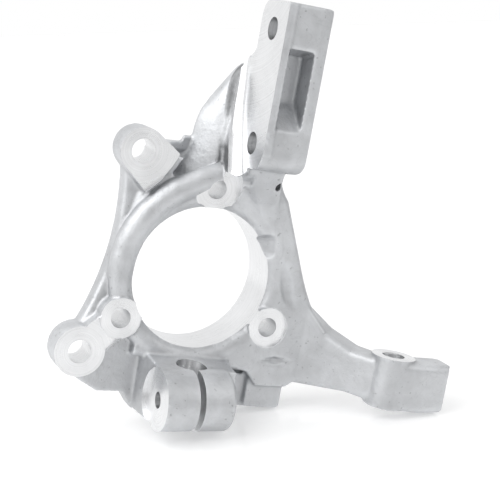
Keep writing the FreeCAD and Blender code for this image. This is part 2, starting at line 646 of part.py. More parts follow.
def clamp_cuts():
    """Pinch bolt hole and seat, the stem bore and the slit in front of it."""
    half = CLAMP_LENGTH / 2.0
    hole = Part.makeCylinder(PINCH_HOLE_R, 2.0 * CLAMP_LENGTH, V(-CLAMP_LENGTH, 0, 0), V(1, 0, 0))
    seat = Part.makeCylinder(CLAMP_SINK_R, half, V(-2.0 * half, 0, 0), V(1, 0, 0))
    slit = Part.makeBox(SLIT_WIDTH, REACH, 3.0 * CLAMP_R,
                        V(-SLIT_WIDTH / 2.0, STEM_Y - PINCH[1] - REACH, -1.5 * CLAMP_R))
    stem = Part.makeCylinder(STEM_R, 4.0 * CLAMP_R, V(PINCH[0], STEM_Y, PINCH[2] - 2.0 * CLAMP_R))
    return [pinch_frame(hole), pinch_frame(seat), pinch_frame(slit), stem]


def steer_cuts():
    """Tie rod boss face and its tapered hole."""
    depth = TIE_FACE_Z - ARM_END_Z + STOCK
    shrink = depth * math.tan(math.radians(TIE_TAPER))
    top = V(TIE_ROD[0], TIE_ROD[1], TIE_FACE_Z)
    hole = Part.makeCone(TIE_HOLE_R, TIE_HOLE_R - shrink, depth, top, V(0, 0, -1))
    face = Part.makeCylinder(TIE_BOSS_R + TIE_FACE_MARGIN, TIE_BOSS_R, top)
    return [hole, face]


def knuckle():
    """The machined knuckle in the attitude in which it stands."""
    cuts = strut_cuts() + hub_cuts() + ear_cuts() + clamp_cuts() + steer_cuts()
    body = casting().cut(cuts[0].multiFuse(cuts[1:]))
    body.rotate(V(0, 0, 0), V(0, 1, 0), STAND_LEAN)
    return body


os.makedirs("parts", exist_ok=True)
part = knuckle()
part.exportStep("parts/knuckle.step")
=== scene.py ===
"""Looks of the cast and machined steering knuckle.

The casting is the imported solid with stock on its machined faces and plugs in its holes, remeshed
and softened into one skin with cast fillets.  Cutters of the real tools' shapes then machine it,
so that faces, bores and slits come out flat and crisp.  Sizes are millimetres in the upright
frame, in which the tongue stands along Z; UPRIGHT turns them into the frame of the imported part.
"""
import math

import bmesh
import bpy
from mathutils import Matrix, Vector
from mathutils.bvhtree import BVHTree


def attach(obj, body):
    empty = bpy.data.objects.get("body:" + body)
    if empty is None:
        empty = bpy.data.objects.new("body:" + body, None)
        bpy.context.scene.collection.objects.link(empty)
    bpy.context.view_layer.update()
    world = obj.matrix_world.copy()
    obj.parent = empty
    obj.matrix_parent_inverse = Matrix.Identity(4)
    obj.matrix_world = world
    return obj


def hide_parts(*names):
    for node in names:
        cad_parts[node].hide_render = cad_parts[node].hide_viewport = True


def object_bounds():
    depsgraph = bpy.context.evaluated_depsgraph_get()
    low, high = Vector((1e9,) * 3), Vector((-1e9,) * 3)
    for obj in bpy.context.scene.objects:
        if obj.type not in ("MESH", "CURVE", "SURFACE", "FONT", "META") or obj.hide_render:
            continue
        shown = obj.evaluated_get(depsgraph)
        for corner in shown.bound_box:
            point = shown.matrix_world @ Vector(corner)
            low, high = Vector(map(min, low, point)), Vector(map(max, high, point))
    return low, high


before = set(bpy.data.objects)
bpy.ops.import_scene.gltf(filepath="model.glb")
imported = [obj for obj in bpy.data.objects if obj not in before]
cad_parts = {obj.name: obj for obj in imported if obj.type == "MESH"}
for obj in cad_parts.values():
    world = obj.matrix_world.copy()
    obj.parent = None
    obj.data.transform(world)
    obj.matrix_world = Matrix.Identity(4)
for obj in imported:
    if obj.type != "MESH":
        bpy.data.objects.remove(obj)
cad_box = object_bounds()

# The attitude in which the part stands, and the scale from millimetres
MM = 0.001
STAND_LEAN = math.radians(11.2)
UPRIGHT = Matrix.Scale(MM, 4) @ Matrix.Rotation(STAND_LEAN, 4, "Y")
FLAT = UPRIGHT.inverted()

# Casting
VOXEL = 0.85                 # size of the skin's mesh
KEPT_SHARE = 0.5             # share of its triangles kept after smoothing
SOFTEN = 7                   # passes of smoothing, which make the cast fillets
STOCK = 2.5                  # how far the casting stands proud of a machined face
SINK = 0.6                   # how far stock, plugs and walls reach into the casting
NEAR = 0.16                  # a face this close to a cutter was made by it
FACING = -0.85               # and looks into the cutter at least this squarely
TOUCH = 0.04                 # the same distance once the casting has been cut
WELD = 1e-6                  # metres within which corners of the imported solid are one
RING = 96                    # sides of a round cutter
SHARP_ANGLE = 35.0           # degrees from which an edge is shaded as one

# Cast skin.  A noise has a scale, detail, roughness and twist
CLOUD = (24.0, 6.0, 0.62, 0.0)
BLOTCH = (95.0, 4.0, 0.6, 0.6)
GRAIN = (1100.0, 3.0, 0.65, 0.0)
PEEL = (330.0, 2.0, 0.5, 0.0)
SPECK = (420.0, 1.0, 0.5, 0.0)
FLOW = (34.0, 3.0, 0.5, 2.2)
# A layer has the stops of its ramp, as position and level, and its share in the tone
CAST_TONE = ((0.30, 0.56), (0.72, 0.70))
PATCHES = (((0.36, 0.90), (0.62, 1.0)), 0.8)
FLOW_LINES = (((0.0, 0.86), (0.012, 1.0)), 0.55)
PITS = (((0.22, 0.62), (0.30, 1.0)), 0.7)
# worn edges brightened with a painted highlight, and painted shade in inward corners
WORN_EDGE_SHEEN_AND_CREASE_SHADE = (((0.455, 0.74), (0.50, 0.97), (0.56, 1.22)), 0.75)
# painted shade that darkens the wall beside the cove, in blotchy streaks
COVE_WALL_SHADE_LAYER = (((0.0, 1.0), (1.0, 0.36)), 1.0)
COVE_WALL_SHADE_STREAKS = (0.75, 1.0, 0.35, 0.6)    # strength of the painted shade over a range of the blotches
TINT = (1.0, 1.004, 1.01)    # aluminium's faint blue
NEUTRAL = (1.0, 1.0, 1.0)
CAST_ROUGHNESS = (0.38, 0.48)
BLOTCH_ROUGHNESS = (0.0, 0.18)    # what the blotches add to that
GRAIN_BUMP = (0.5, 0.22)     # strength, and height in millimetres
PEEL_BUMP = (0.55, 0.5)
METAL_IOR = 1.5

# Machined faces
FINE_MARKS, BROAD_MARKS = (2600.0, 2.0, 0.6), (900.0, 3.0, 0.6)    # noises along a tool's feed
SMEAR = (70.0, 4.0, 0.55, 0.0)
MILLED_TONE = ((0.30, 0.80), (0.68, 0.88))
SMEARS = (((0.35, 0.93), (0.65, 1.0)), 0.8)
MILLED_ROUGHNESS, SMEAR_ROUGHNESS = (0.16, 0.30), (0.0, 0.14)
MARK_BUMP = (0.35, 0.12)
ANISOTROPY, ANISOTROPY_TURN = 0.75, 0.25

# Studio
FLOOR = 3.0                  # half the floor's side, in metres
FLOOR_TONE, FLOOR_ROUGHNESS, FLOOR_SPECULAR = 0.92, 0.12, 0.35
WHITE = (1, 1, 1, 1)
FLOOR_LIFT = 0.3             # its own light, which only the camera and reflections see
WORLD_LEVEL = 0.55           # light of the world on the part
BRIGHT_SIDE = (-0.55, 0.6, 0.6)    # where the room that the metal mirrors is white
ROOM_LEVEL = (0.35, 1.0)     # its level at the dim and at the white side
ROOM_REACH = (-0.75, 0.35)   # how squarely those two sides are looked at
KEY = ((-1.3, -0.2, 1.3), 2.0, 22.0)      # place, size and watts of each lamp
FILL = ((0.9, -1.1, 0.7), 0.9, 3.0)
CAMERA_PLACE = (-0.28363, -0.80190, 0.21856)
CAMERA_DOWN, CAMERA_TURN = 13.735, 22.391    # degrees
LENS, SENSOR = 96.17, 36.0

# Sizes of the machined features, as in the part's source
BORE_R = 46.0
BOLT_CIRCLE_R, BOLT_START = 58.0, 91.2
BOLT_HOLE_R, BOLT_BOSS_R, BOLT_FACE_Y = 6.4, 13.2, -35.0
TOP_POCKET_R, TOP_CLEAR_R, TOP_CLEAR_Y = 15.0, 12.5, -41.5
TOP_POCKET_EDGE = (-3.0, 62.0, 37.0)
UPPER_EAR, UPPER_EAR_R = (-52.5, 75.3), 14.6
UPPER_EAR_TIPS = ((-28.5, 76.3), (-46.8, 49.8))
UPPER_EAR_BULGE = 1.8
LOWER_EAR, LOWER_EAR_R, EAR_NECK = (-71.7, -53.9), 16.3, 20.0
EAR_HOLE_R, EAR_FACE_Y, EAR_BACK_Y = 7.5, -33.0, -14.0
PAD_X, TONGUE_WIDTH = 7.7, 32.0
STRUT_HOLE_R, STRUT_HOLE_Y, STRUT_HOLE_Z, STRUT_PITCH = 7.0, -55.0, 91.5, 70.3
NUT_FACE_R, NUT_FACE_DEPTH = 12.5, 0.6
PAD_FOOT, PAD_SLOPE = (-59.0, 66.0), 20.5    # y, z and lean of the pad cutter's back edge
PAD_RUN_OUT = 60.0           # how far it runs on below that foot
PAD_MILL = (-18.0, 150.0)    # y and z of its axis in its own frame
PINCH, PINCH_TILT = Vector((-2.0, -58.0, -73.0)), 3.2
CLAMP_R, CLAMP_LENGTH, CLAMP_SINK_R, PINCH_HOLE_R = 19.5, 46.0, 21.0, 5.25
STEM_R, STEM_Y, SLIT_WIDTH = 10.0, -47.0, 3.8
STEM_PLUG_Z = (-91.0, -54.0)
SLIT_PLUG_Y, SLIT_PLUG_Z = -53.0, (-89.5, -56.0)    # plug where the slit meets the stem's bore
TIE_ROD, TIE_BOSS_R, TIE_FACE_Z, TIE_HOLE_R = (129.2, -67.4), 14.4, -31.6, 7.4
TIE_TAPER, TIE_FACE_MARGIN, ARM_END_Z = 4.8, 3.0, -65.5
TIE_RUN_OUT, TIE_PLUG_GAP = 4.0, 5.0    # the taper runs out below the arm, its plug stops above
DRILL, DRILL_R, DRILL_DEPTH, LEG_FRONT_Y = (35.6, 65.6), 2.6, 14.0, -37.0
TOP_CLEAR_LENGTH, POCKET_LENGTH = 34.0, 40.0

# Levels of the tower's slanting face: z, then x and y of its left and right edges
TOWER_FACE = (
    (56.0, -33.0, -24.0, -0.6, -31.0),
    (69.0, -25.5, -23.0, -1.2, -28.5),
    (78.0, -20.5, -22.0, -1.5, -29.4),
    (87.0, -18.3, -21.0, -1.7, -28.8),
    (96.0, -17.4, -20.0, -1.7, -28.0),
    (104.0, -15.6, -20.0, -1.0, -27.0),
    (116.0, -8.8, -20.0, -0.6, -24.2),
    (124.0, -3.6, -20.0, -0.2, -22.6),
    (130.0, 0.6, -20.0, 1.4, -21.6),
    (134.0, 3.2, -20.0, 3.6, -21.2),
    (137.5, 6.8, -20.0, 7.0, -21.0),
)
TOWER_STEP = 4.0             # height between the sections of the tower
TOWER_BACK_Y = -12.0         # where its left side ends
TOWER_BOW = (-2.2, -3.0)     # x and y by which the curve's control point leaves the straight face
TOWER_SIGHT = 0.43           # its left side runs back to the right by this share of the depth
CURVE_STEPS = 12             # pieces of the curves of the tower's face and of the cove
ROLL_R = 8.0                 # rolled ridge from the rim to the tower
ROLL_SIDES, ROLL_STEPS = 32, 8    # sides of the ridge, and pieces between two of its points
ROLL_LINE = ((-52.0, -27.0, -4.0), (-50.0, -29.5, 21.0), (-35.5, -32.5, 46.0),
             (-16.0, -33.0, 59.5), (-3.0, -33.0, 65.5), (8.0, -33.0, 69.2))
PROUD = 0.8                  # what the shave takes off the tower's body
SHAVE_FROM = 62.0            # lowest height of the shave
SADDLE_Z = 86.0              # above this it trims the tower's left side all through
EAR_CLEAR_X = -31.0          # as far as it reaches beside the upper ear
# Cove beside the pad: z, then x and y of its left edge
COVE = ((61.0, 1.2, -49.8), (74.0, 1.7, -42.6), (87.0, 2.1, -36.0), (100.0, 3.0, -31.4),
        (113.0, 4.0, -27.6), (125.0, 4.5, -26.1), (136.0, 4.8, -24.4))
COVE_LEAN = 38.0             # degrees by which its flat part turns from the front to the left
COVE_STRAIGHT = 0.35         # share of its width that is flat
COVE_SWEEP = 4.0             # how far its curve runs forward along the pad
FOOT_X = (-12.0, 16.7)       # the cut under the pad's foot, and its outline as y and z
FOOT_UNDER = ((-63.8, 77.4), (-60.5, 75.4), (-54.0, 73.4), (-48.0, 69.4), (-43.0, 66.0),
              (-43.0, 50.0), (-72.0, 50.0), (-72.0, 77.4))
# Painted shade on the wall beside the cove: heights and strengths, and where it starts and fades
COVE_WALL_SHADE = ((60.0, 1.0), (84.0, 1.0), (93.0, 0.0), (101.0, 0.0), (108.0, 1.0), (137.0, 1.0))
COVE_WALL_SHADE_SET_BACK, COVE_WALL_SHADE_NEAR = 0.5, 1.6    # how far it passes the wall's back edge, and leaves it
COVE_WALL_SHADE_PAST, COVE_WALL_SHADE_FADE = 0.1, (0.15, 0.12)    # shares of the wall's depth, at both edges
LEAST_WALL = 1.0             # depth that the wall counts as where it is less
# Web between the upper ear, the tower and the rolled ridge, as x and z
EAR_WEB = ((-47.0, 50.5), (-37.0, 47.0), (-18.0, 59.0), (-8.0, 66.0), (-21.0, 74.0),
           (-29.0, 74.0), (-48.0, 66.0))
EAR_WEB_FRONT_Y = -29.5
EAR_WEB_TOP, EAR_HOLLOW_Y = 75.0, -20.0    # from there to the saddle the shave hollows it
# Wall that closes the gap behind the tongue, as two corners
TONGUE_GAP = ((8.5, -37.0, 96.0), (38.5, -27.0, 131.0))

REACH = 120.0                # longer than a cut is deep
CLEAR = 6.0                  # how far a cutter stands clear of what it cuts
MARGIN = 1.0                 # how far a plug or fill ends from the face that it meets
CAST, MILLED = 0, 1          # material slots
MIX_FIRST, MIX_SECOND, MIX_RESULT = 6, 7, 2    # a Mix node's colour sockets

ALONG_Y = Vector((0, 1, 0))
PINCH_TURN = Matrix.Translation(PINCH) @ Matrix.Rotation(-math.radians(PINCH_TILT), 4, "Y")


def solid_object(name, mesh_builder, move=Matrix.Identity(4)):
    """Object from a builder that fills a bmesh in upright millimetres."""
    grid = bmesh.new()
    mesh_builder(grid)
    bmesh.ops.transform(grid, matrix=UPRIGHT @ move, verts=grid.verts)
    bmesh.ops.recalc_face_normals(grid, faces=grid.faces)
    mesh = bpy.data.meshes.new(name)
    grid.to_mesh(mesh)
    grid.free()
    made = bpy.data.objects.new(name, mesh)
    bpy.context.scene.collection.objects.link(made)
    return made


def ring(centre, axis, radius, count=RING):
    """Points of a circle about an axis."""
    turn = axis.to_track_quat("Z", "Y")
    points = []
    for i in range(count):
        angle = 2.0 * math.pi * i / count
        points.append(centre + turn @ Vector((radius * math.cos(angle), radius * math.sin(angle), 0)))
    return points


def skin_between(first, last):
    """Builder of a closed solid between two rings of equally many points."""
    def build(grid):
        low = [grid.verts.new(p) for p in first]
        high = [grid.verts.new(p) for p in last]
        grid.faces.new(low)
        grid.faces.new(high)
        for i in range(len(low)):
            j = (i + 1) % len(low)
            grid.faces.new((low[i], low[j], high[j], high[i]))
    return build


def turned_about(cutter, origin, axis, move=Matrix.Identity(4)):
    """Note the axis about which a tool turned, so that its marks can follow it."""
    place = UPRIGHT @ move
    cutter["origin"] = list(place @ Vector(origin))
    cutter["axis"] = list((place.to_3x3() @ Vector(axis)).normalized())
    return cutter


def rod(name, start, end, radius, end_radius=None, move=Matrix.Identity(4)):
    """Cylinder or cone between two points."""
    start, end = Vector(start), Vector(end)
    axis = (end - start).normalized()
    far = radius if end_radius is None else end_radius
    build = skin_between(ring(start, axis, radius), ring(end, axis, far))
    return turned_about(solid_object(name, build, move), start, axis, move)


def prism(name, outline, y0, y1, move=Matrix.Identity(4)):
    """Outline of x and z points, carried along Y."""
    first = [Vector((x, y0, z)) for x, z in outline]
    last = [Vector((x, y1, z)) for x, z in outline]
    return solid_object(name, skin_between(first, last), move)


def arc(centre, radius, start, end, count):
    """Points of an arc as x and z, with both ends, in radians."""
    return [(centre[0] + radius * math.cos(start + (end - start) * i / count),
             centre[1] + radius * math.sin(start + (end - start) * i / count))
            for i in range(count + 1)]


def polar(radius, degrees):
    angle = math.radians(degrees)
    return radius * math.cos(angle), radius * math.sin(angle)


BOLTS = [polar(BOLT_CIRCLE_R, BOLT_START + 120.0 * i) for i in range(3)]


def top_pocket():
    """Round pocket at the top bolt, stopped by a slanting line."""
    x, z, angle = TOP_POCKET_EDGE
    side = Vector((-math.sin(math.radians(angle)), math.cos(math.radians(angle))))
    offset = (Vector((x, z)) - Vector(BOLTS[0])).dot(side)
    half = math.acos(offset / TOP_POCKET_R)
    aim = math.atan2(side.y, side.x)
    outline = arc(BOLTS[0], TOP_POCKET_R, aim + half, aim + 2.0 * math.pi - half, RING)
    pocket = prism("top_pocket", outline, BOLT_FACE_Y - POCKET_LENGTH, BOLT_FACE_Y)
    return turned_about(pocket, (BOLTS[0][0], 0, BOLTS[0][1]), ALONG_Y)


def touch_angle(centre, radius, point, side):
    """Angle at which a line from the point touches the circle."""
    dx, dz = point[0] - centre[0], point[1] - centre[1]
    return math.atan2(dz, dx) + side * math.acos(radius / math.hypot(dx, dz))


def upper_ear():
    """Pear-shaped face of the upper ear."""
    high, low = UPPER_EAR_TIPS
    start = touch_angle(UPPER_EAR, UPPER_EAR_R, high, 1)
    end = touch_angle(UPPER_EAR, UPPER_EAR_R, low, -1) + 2.0 * math.pi
    if end - start >= 2.0 * math.pi:
        end -= 2.0 * math.pi
    outline = arc(UPPER_EAR, UPPER_EAR_R, start, end, RING // 2)
    half = math.hypot(high[0] - low[0], high[1] - low[1]) / 2.0
    bow = (half * half + UPPER_EAR_BULGE ** 2) / (2.0 * UPPER_EAR_BULGE)
    middle = Vector(((high[0] + low[0]) / 2.0, (high[1] + low[1]) / 2.0))
    away = (Vector(UPPER_EAR) - middle).normalized()
    centre = middle + away * (bow - UPPER_EAR_BULGE)
    first = math.atan2(low[1] - centre.y, low[0] - centre.x)
    last = math.atan2(high[1] - centre.y, high[0] - centre.x)
    if last < first:
        last += 2.0 * math.pi
    outline += arc(centre, bow, first, last, CURVE_STEPS)
    face = prism("upper_ear", outline, EAR_FACE_Y - REACH, EAR_FACE_Y)
    return turned_about(face, (UPPER_EAR[0], 0, UPPER_EAR[1]), ALONG_Y)


def lower_neck():
    """Face of the neck between the lower ear and the bolt boss beside it."""
    steps = RING // 4
    bolt = Vector(BOLTS[1])
    ear = Vector(LOWER_EAR)
    run = bolt - ear
    length, aim = run.length, math.atan2(run.y, run.x)
    half = EAR_NECK / 2.0
    swing = math.asin(half / BOLT_BOSS_R)
    local = [(0.0, -half), (0.0, half)]
    local += [(length - BOLT_BOSS_R * math.cos(a), BOLT_BOSS_R * math.sin(a))
              for a in (swing - 2.0 * swing * i / steps for i in range(steps + 1))]
    outline = [(ear.x + u * math.cos(aim) - v * math.sin(aim),
                ear.y + u * math.sin(aim) + v * math.cos(aim)) for u, v in local]
    face = prism("lower_neck", outline, EAR_FACE_Y - REACH, EAR_FACE_Y)
    return turned_about(face, (LOWER_EAR[0], 0, LOWER_EAR[1]), ALONG_Y)


def pad_cutter():
    """Cutter that faces the pad."""
    low, high = (-REACH, -REACH, -PAD_RUN_OUT), (0, 0, 2.0 * REACH)
    move = (Matrix.Translation((PAD_X, PAD_FOOT[0], PAD_FOOT[1]))
            @ Matrix.Rotation(-math.radians(PAD_SLOPE), 4, "X"))
    cutter = solid_object("pad_cutter", box_builder(low, high), move)
    return turned_about(cutter, (0, PAD_MILL[0], PAD_MILL[1]), (1, 0, 0), move)


def box_builder(low, high):
    """Builder of a box between two corners."""
    (x0, y0, z0), (x1, y1, z1) = low, high
    first = [Vector(p) for p in ((x0, y0, z0), (x1, y0, z0), (x1, y1, z0), (x0, y1, z0))]
    last = [Vector((p.x, p.y, z1)) for p in first]
    return skin_between(first, last)


def face_cutters():
    """Cutters that leave flat faces and coves."""
    far = PAD_X + TONGUE_WIDTH
    made = [pad_cutter(), cove_cutter(), upper_ear(), lower_neck(), top_pocket()]
    made.append(rod("lower_ear", (LOWER_EAR[0], EAR_FACE_Y - REACH, LOWER_EAR[1]),
                    (LOWER_EAR[0], EAR_FACE_Y, LOWER_EAR[1]), LOWER_EAR_R))
    made.append(rod("top_clear", (BOLTS[0][0], TOP_CLEAR_Y - TOP_CLEAR_LENGTH, BOLTS[0][1]),
                    (BOLTS[0][0], TOP_CLEAR_Y, BOLTS[0][1]), TOP_CLEAR_R))
    for i, (x, z) in enumerate(BOLTS[1:]):
        made.append(rod(f"bolt_face_{i}", (x, BOLT_FACE_Y - REACH, z), (x, BOLT_FACE_Y, z), BOLT_BOSS_R))
    for i, z in enumerate((STRUT_HOLE_Z, STRUT_HOLE_Z + STRUT_PITCH)):
        made.append(rod(f"nut_face_{i}", (far - NUT_FACE_DEPTH, STRUT_HOLE_Y, z),
                        (far + CLEAR, STRUT_HOLE_Y, z), NUT_FACE_R))
    half = CLAMP_LENGTH / 2.0
    made.append(rod("pinch_seat", (-2.0 * half, 0, 0), (-half, 0, 0), CLAMP_SINK_R, move=PINCH_TURN))
    made.append(rod("tie_face", (TIE_ROD[0], TIE_ROD[1], TIE_FACE_Z),
                    (TIE_ROD[0], TIE_ROD[1], TIE_FACE_Z + TIE_BOSS_R), TIE_BOSS_R + TIE_FACE_MARGIN))
    flange = solid_object("flange_face", box_builder((-2 * REACH, 0, -2 * REACH),
                                                     (2 * REACH, CLEAR, 2 * REACH)))
    made.append(turned_about(flange, (0, 0, 0), ALONG_Y))
    made.append(rod("bore", (0, -REACH, 0), (0, CLEAR, 0), BORE_R))
    return made


def straight_holes():
    """Name, ends, radius, plug's ends and placing of each hole with straight walls."""
    far = PAD_X + TONGUE_WIDTH
    half = CLAMP_LENGTH / 2.0
    still = Matrix.Identity(4)
    table = []
    for i, (x, z) in enumerate(BOLTS):
        table.append((f"bolt_{i}", (x, -REACH, z), (x, CLEAR, z), BOLT_HOLE_R,
                      (x, BOLT_FACE_Y - STOCK, z), (x, STOCK, z), still))
    for name, (x, z) in (("upper_ear_hole", UPPER_EAR), ("lower_ear_hole", LOWER_EAR)):
        table.append((name, (x, -REACH, z), (x, CLEAR, z), EAR_HOLE_R,
                      (x, EAR_FACE_Y - STOCK, z), (x, EAR_BACK_Y - SINK, z), still))
    for i, z in enumerate((STRUT_HOLE_Z, STRUT_HOLE_Z + STRUT_PITCH)):
        table.append((f"strut_{i}", (PAD_X - CLEAR, STRUT_HOLE_Y, z), (far + CLEAR, STRUT_HOLE_Y, z),
                      STRUT_HOLE_R, (PAD_X - STOCK, STRUT_HOLE_Y, z),
                      (far + MARGIN, STRUT_HOLE_Y, z), still))
    table.append(("pinch", (-2 * half, 0, 0), (2 * half, 0, 0), PINCH_HOLE_R,
                  (-half - STOCK, 0, 0), (half - MARGIN, 0, 0), PINCH_TURN))
    low, high = STEM_PLUG_Z
    table.append(("stem", (PINCH.x, STEM_Y, PINCH.z - 2 * CLAMP_R),
                  (PINCH.x, STEM_Y, PINCH.z + 2 * CLAMP_R), STEM_R,
                  (PINCH.x, STEM_Y, low), (PINCH.x, STEM_Y, high), still))
    x, z = DRILL
    end_y = LEG_FRONT_Y + DRILL_DEPTH
    table.append(("drill", (x, LEG_FRONT_Y - DRILL_DEPTH, z), (x, end_y, z), DRILL_R,
                  (x, LEG_FRONT_Y + MARGIN, z), (x, end_y, z), still))
    return table


def tie_rod_hole():
    """Cutter and plug of the tie rod's tapered hole."""
    depth = TIE_FACE_Z - ARM_END_Z + TIE_RUN_OUT
    shrink = depth * math.tan(math.radians(TIE_TAPER))
    top = Vector((TIE_ROD[0], TIE_ROD[1], TIE_FACE_Z))
    cutter = rod("tie_hole", top, top - Vector((0, 0, depth)), TIE_HOLE_R, TIE_HOLE_R - shrink)
    plug = rod("tie_plug", top + Vector((0, 0, STOCK)), top - Vector((0, 0, depth - TIE_PLUG_GAP)),
               TIE_HOLE_R + SINK)
    return cutter, plug


def clamp_slit():
    """Cutter of the slit that opens the clamp, and the two plugs that fill it."""
    wide = SLIT_WIDTH / 2.0
    low, high = (-wide, -2 * CLAMP_R, -1.5 * CLAMP_R), (wide, STEM_Y - PINCH.y, 1.5 * CLAMP_R)
    slit = solid_object("slit", box_builder(low, high), PINCH_TURN)
    turned_about(slit, (0, -4 * CLAMP_R, 0), (1, 0, 0), PINCH_TURN)
    wide += SINK
    plug = rod("slit_plug", (-wide, 0, 0), (wide, 0, 0), CLAMP_R - SINK, move=PINCH_TURN)
    low = (PINCH.x - wide, SLIT_PLUG_Y, SLIT_PLUG_Z[0])
    high = (PINCH.x + wide, STEM_Y, SLIT_PLUG_Z[1])
    return slit, [plug, solid_object("slit_plug_neck", box_builder(low, high))]


def holes():
    """Each hole's cutter, and the plugs that fill them in the casting."""
    cutters, plugs = [], []
    for name, start, end, radius, plug_start, plug_end, move in straight_holes():
        cutters.append(rod(name, start, end, radius, move=move))
        plugs.append(rod(name + "_plug", plug_start, plug_end, radius + SINK, move=move))
    cutter, plug = tie_rod_hole()
    slit, slit_plugs = clamp_slit()
    return cutters + [cutter, slit], plugs + [plug] + slit_plugs


def sections(name, levels):
    """Solid through polygons of equally many points, one at each level."""
    def build(grid):
        rows = [[grid.verts.new(p) for p in level] for level in levels]
        grid.faces.new(rows[0])
        grid.faces.new(rows[-1])
        for low, high in zip(rows, rows[1:]):
            for i in range(len(low)):
                j = (i + 1) % len(low)
                grid.faces.new((low[i], low[j], high[j], high[i]))
    return solid_object(name, build)


def at_height(levels, z):
    """Values of a table of levels at a height."""
    for low, high in zip(levels, levels[1:]):
        if z <= high[0]:
            share = (z - low[0]) / (high[0] - low[0])
            return [a + (b - a) * share for a, b in zip(low[1:], high[1:])]
    return list(levels[-1][1:])


def bezier(start, bend, end):
    """Curve that leaves its start towards the bend and comes to its end from there."""
    shares = [i / CURVE_STEPS for i in range(CURVE_STEPS + 1)]
    return [start * (1 - t) ** 2 + bend * (2 * t * (1 - t)) + end * t ** 2 for t in shares]


def tower_section(z, proud):
    """Curve of the tower's face at a height, from its left end to the cove's wall."""
    x0, y0, x1, y1 = at_height(TOWER_FACE, z)
    start = Vector((x0 + TOWER_SIGHT * (TOWER_BACK_Y - y0), TOWER_BACK_Y))
    end = Vector((x1, y1))
    bend = (start + end) / 2.0 + Vector(TOWER_BOW)
    return [Vector((spot.x, spot.y - proud, z)) for spot in bezier(start, bend, end)]


def tower_fill():
    """Body under the tower's face, which the shave then trims."""
    rows = []
    for z in tower_heights(TOWER_FACE[0][0]):
        row = tower_section(z, PROUD)
        back = TOWER_BACK_Y + MARGIN
        rows.append(row + [Vector((PAD_X, row[-1].y, z)), Vector((PAD_X, back, z)),
                           Vector((row[0].x, back, z))])
    return sections("tower_fill", rows)


def tower_heights(low):
    """Heights from the lowest to the top of the tower, a few millimetres apart."""
    high = TOWER_FACE[-1][0]
    count = round((high - low) / TOWER_STEP)
    return [low + (high - low) * i / count for i in range(count + 1)]


def tower_shave():
    """Cutter in front of the tower's face, left of the cove."""
    rows = []
    for z in tower_heights(SHAVE_FROM):
        row = tower_section(z, 0.0)
        left = row[0].x - CLEAR if z < EAR_WEB_TOP else EAR_CLEAR_X
        back = TOWER_BACK_Y if z < SADDLE_Z else CLEAR
        hollow = back if z < EAR_WEB_TOP or z > SADDLE_Z else EAR_HOLLOW_Y
        rows.append([Vector((left, hollow, z)), Vector((row[0].x, back, z))] + row
                    + [Vector((row[-1].x, -REACH, z)), Vector((left, -REACH, z))])
    return sections("tower_shave", rows)


def spline(points, steps):
    """Smooth line through points."""
    padded = [points[0] * 2 - points[1]] + points + [points[-1] * 2 - points[-2]]
    path = []
    for a, b, c, d in zip(padded, padded[1:], padded[2:], padded[3:]):
        for t in (i / steps for i in range(steps)):
            path.append(0.5 * (2 * b + (c - a) * t + (2 * a - 5 * b + 4 * c - d) * t * t
                               + (3 * b - a - 3 * c + d) * t ** 3))
    return path + [points[-1]]


def roll():
    """The rolled ridge, laid over the tower's foot again."""
    path = spline([Vector(p) for p in ROLL_LINE], ROLL_STEPS)
    angles = [2.0 * math.pi * i / ROLL_SIDES for i in range(ROLL_SIDES)]
    rows = []
    for i, spot in enumerate(path):
        run = (path[min(i + 1, len(path) - 1)] - path[max(i - 1, 0)]).normalized()
        across = run.cross(ALONG_Y).normalized()
        up = across.cross(run)
        rows.append([spot + (across * math.cos(a) + up * math.sin(a)) * ROLL_R for a in angles])
    return sections("roll", rows)


def cove_fill():
    """Body from which the cove is cut; its left wall runs back to the tower's face."""
    rows = []
    for z, x, y in COVE:
        _, _, edge_x, edge_y = at_height(TOWER_FACE, z)
        front = y - 2.0 * CLEAR
        rows.append([Vector(p + (z,)) for p in (
            (x, front), (PAD_X + STOCK, front), (PAD_X + STOCK, TOWER_BACK_Y),
            (edge_x, TOWER_BACK_Y), (edge_x, edge_y), (x, y))])
    return sections("cove_fill", rows)


def cove_cutter():
    """Cutter that sweeps the cove from its left edge into the pad."""
    (low, *foot), (high, *top) = COVE[0], COVE[-1]
    rows = []
    for z, x, y in ((low - CLEAR, *foot), *COVE, (high + CLEAR, *top)):
        row = [(x - CLEAR, y), (x, y)]
        bend = (PAD_X, y - (PAD_X - x) * math.tan(math.radians(COVE_LEAN)))
        start = (x + (PAD_X - x) * COVE_STRAIGHT, y + (bend[1] - y) * COVE_STRAIGHT)
        end = (PAD_X, bend[1] - COVE_SWEEP)
        row += zip(*(bezier(*along) for along in zip(start, bend, end)))
        row += [(PAD_X, -REACH), (x - CLEAR, -REACH)]
        rows.append([Vector(p + (z,)) for p in row])
    return turned_about(sections("cove", rows), (-REACH, COVE[0][2], COVE[0][1]), (1, 0, 0))


def foot_cutter():
    """Cutter of the pad foot's underside, used on the casting before it is softened."""
    sides = [[Vector((x, y, z)) for y, z in FOOT_UNDER] for x in FOOT_X]
    return solid_object("foot_under", skin_between(*sides))


def ear_web():
    """Web between the upper ear, the tower and the rolled ridge."""
    return prism("ear_web", EAR_WEB, EAR_WEB_FRONT_Y, TOWER_BACK_Y)


def gap_wall():
    """Wall between the tongue's back and the tower, which the photograph hides."""
    return solid_object("gap_wall", box_builder(*TONGUE_GAP))


def settled(thing):
    """Replace an object's mesh by what its modifiers make of it."""
    graph = bpy.context.evaluated_depsgraph_get()
    mesh = bpy.data.meshes.new_from_object(thing.evaluated_get(graph))
    thing.modifiers.clear()
    thing.data = mesh
    return thing


def cutter_trees(cutters):
    """Search tree of each cutter's surface."""
    trees = []
    for cutter in cutters:
        grid = bmesh.new()
        grid.from_mesh(cutter.data)
        trees.append(BVHTree.FromBMesh(grid))
        grid.free()
    return trees


